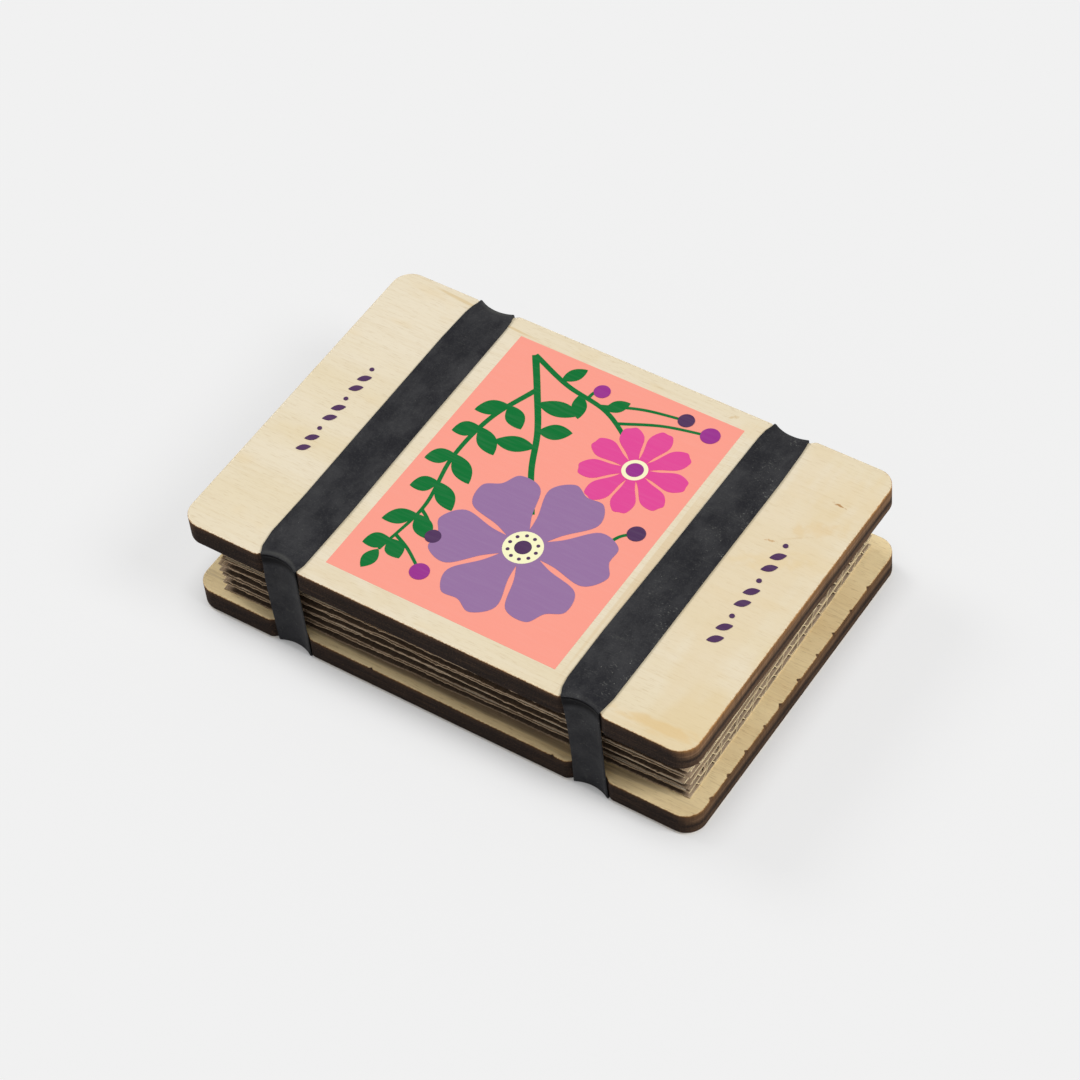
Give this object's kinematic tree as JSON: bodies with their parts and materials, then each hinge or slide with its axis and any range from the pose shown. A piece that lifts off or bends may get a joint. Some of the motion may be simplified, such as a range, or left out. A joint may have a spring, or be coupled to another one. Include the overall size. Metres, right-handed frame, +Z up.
{
  "type": "flower press",
  "caption": "Pocket flower press: two notched plywood boards hold a pile of corrugated card and blotting paper, squeezed by two wide rubber bands.",
  "frame": {"origin": "middle of the press's footprint, on the surface that it lies on", "axes": "+X along the boards' long side, +Y across towards the far long edge, +Z up through the pile"},
  "size_m": [0.15, 0.1006, 0.0344],
  "materials": {
    "birch_plywood": "laser-cut birch plywood, matt faces, charred edges, printed panel on the top board",
    "kraft_card": "brown corrugated card, cut edges show the wave",
    "blotting_paper": "soft absorbent paper",
    "rubber_band": "matt charcoal rubber with a little dust"
  },
  "bodies": {
    "base": {"bottom_board": "birch_plywood", "left_band": "rubber_band", "right_band": "rubber_band"},
    "top_board": {"top_board": "birch_plywood"},
    "corrugated_card_1": {"corrugated_card_1": "kraft_card"},
    "blotting_paper_1": {"blotting_paper_1": "blotting_paper"},
    "blotting_paper_2": {"blotting_paper_2": "blotting_paper"},
    "corrugated_card_2": {"corrugated_card_2": "kraft_card"},
    "blotting_paper_3": {"blotting_paper_3": "blotting_paper"},
    "blotting_paper_4": {"blotting_paper_4": "blotting_paper"},
    "corrugated_card_3": {"corrugated_card_3": "kraft_card"},
    "blotting_paper_5": {"blotting_paper_5": "blotting_paper"},
    "blotting_paper_6": {"blotting_paper_6": "blotting_paper"},
    "corrugated_card_4": {"corrugated_card_4": "kraft_card"},
    "blotting_paper_7": {"blotting_paper_7": "blotting_paper"},
    "blotting_paper_8": {"blotting_paper_8": "blotting_paper"},
    "corrugated_card_5": {"corrugated_card_5": "kraft_card"},
    "blotting_paper_9": {"blotting_paper_9": "blotting_paper"},
    "blotting_paper_10": {"blotting_paper_10": "blotting_paper"},
    "corrugated_card_6": {"corrugated_card_6": "kraft_card"}
  },
  "joints": [
    {"name": "top_board_lift", "type": "slide", "parent": "base", "child": "top_board", "axis": [0, 0, 1], "range_m": [0, 0.015], "stiffness_N_per_m": 500, "deforming": ["left_band", "right_band"]},
    {"name": "corrugated_card_1_lift", "type": "slide", "parent": "base", "child": "corrugated_card_1", "axis": [0, 0, 1], "range_m": [0, 0.0003]},
    {"name": "blotting_paper_1_lift", "type": "slide", "parent": "base", "child": "blotting_paper_1", "axis": [0, 0, 1], "range_m": [0, 0.0006]},
    {"name": "blotting_paper_2_lift", "type": "slide", "parent": "base", "child": "blotting_paper_2", "axis": [0, 0, 1], "range_m": [0, 0.00288]},
    {"name": "corrugated_card_2_lift", "type": "slide", "parent": "base", "child": "corrugated_card_2", "axis": [0, 0, 1], "range_m": [0, 0.00318]},
    {"name": "blotting_paper_3_lift", "type": "slide", "parent": "base", "child": "blotting_paper_3", "axis": [0, 0, 1], "range_m": [0, 0.00348]},
    {"name": "blotting_paper_4_lift", "type": "slide", "parent": "base", "child": "blotting_paper_4", "axis": [0, 0, 1], "range_m": [0, 0.00576]},
    {"name": "corrugated_card_3_lift", "type": "slide", "parent": "base", "child": "corrugated_card_3", "axis": [0, 0, 1], "range_m": [0, 0.00606]},
    {"name": "blotting_paper_5_lift", "type": "slide", "parent": "base", "child": "blotting_paper_5", "axis": [0, 0, 1], "range_m": [0, 0.00636]},
    {"name": "blotting_paper_6_lift", "type": "slide", "parent": "base", "child": "blotting_paper_6", "axis": [0, 0, 1], "range_m": [0, 0.00864]},
    {"name": "corrugated_card_4_lift", "type": "slide", "parent": "base", "child": "corrugated_card_4", "axis": [0, 0, 1], "range_m": [0, 0.00894]},
    {"name": "blotting_paper_7_lift", "type": "slide", "parent": "base", "child": "blotting_paper_7", "axis": [0, 0, 1], "range_m": [0, 0.00924]},
    {"name": "blotting_paper_8_lift", "type": "slide", "parent": "base", "child": "blotting_paper_8", "axis": [0, 0, 1], "range_m": [0, 0.01152]},
    {"name": "corrugated_card_5_lift", "type": "slide", "parent": "base", "child": "corrugated_card_5", "axis": [0, 0, 1], "range_m": [0, 0.01182]},
    {"name": "blotting_paper_9_lift", "type": "slide", "parent": "base", "child": "blotting_paper_9", "axis": [0, 0, 1], "range_m": [0, 0.01212]},
    {"name": "blotting_paper_10_lift", "type": "slide", "parent": "base", "child": "blotting_paper_10", "axis": [0, 0, 1], "range_m": [0, 0.0144]},
    {"name": "corrugated_card_6_lift", "type": "slide", "parent": "base", "child": "corrugated_card_6", "axis": [0, 0, 1], "range_m": [0, 0.0147]}
  ],
  "couplings": [
    {"joint": "corrugated_card_1_lift", "follows": "top_board_lift", "ratio": 0.02},
    {"joint": "blotting_paper_1_lift", "follows": "top_board_lift", "ratio": 0.04},
    {"joint": "blotting_paper_2_lift", "follows": "top_board_lift", "ratio": 0.192},
    {"joint": "corrugated_card_2_lift", "follows": "top_board_lift", "ratio": 0.212},
    {"joint": "blotting_paper_3_lift", "follows": "top_board_lift", "ratio": 0.232},
    {"joint": "blotting_paper_4_lift", "follows": "top_board_lift", "ratio": 0.384},
    {"joint": "corrugated_card_3_lift", "follows": "top_board_lift", "ratio": 0.404},
    {"joint": "blotting_paper_5_lift", "follows": "top_board_lift", "ratio": 0.424},
    {"joint": "blotting_paper_6_lift", "follows": "top_board_lift", "ratio": 0.576},
    {"joint": "corrugated_card_4_lift", "follows": "top_board_lift", "ratio": 0.596},
    {"joint": "blotting_paper_7_lift", "follows": "top_board_lift", "ratio": 0.616},
    {"joint": "blotting_paper_8_lift", "follows": "top_board_lift", "ratio": 0.768},
    {"joint": "corrugated_card_5_lift", "follows": "top_board_lift", "ratio": 0.788},
    {"joint": "blotting_paper_9_lift", "follows": "top_board_lift", "ratio": 0.808},
    {"joint": "blotting_paper_10_lift", "follows": "top_board_lift", "ratio": 0.96},
    {"joint": "corrugated_card_6_lift", "follows": "top_board_lift", "ratio": 0.98}
  ]
}
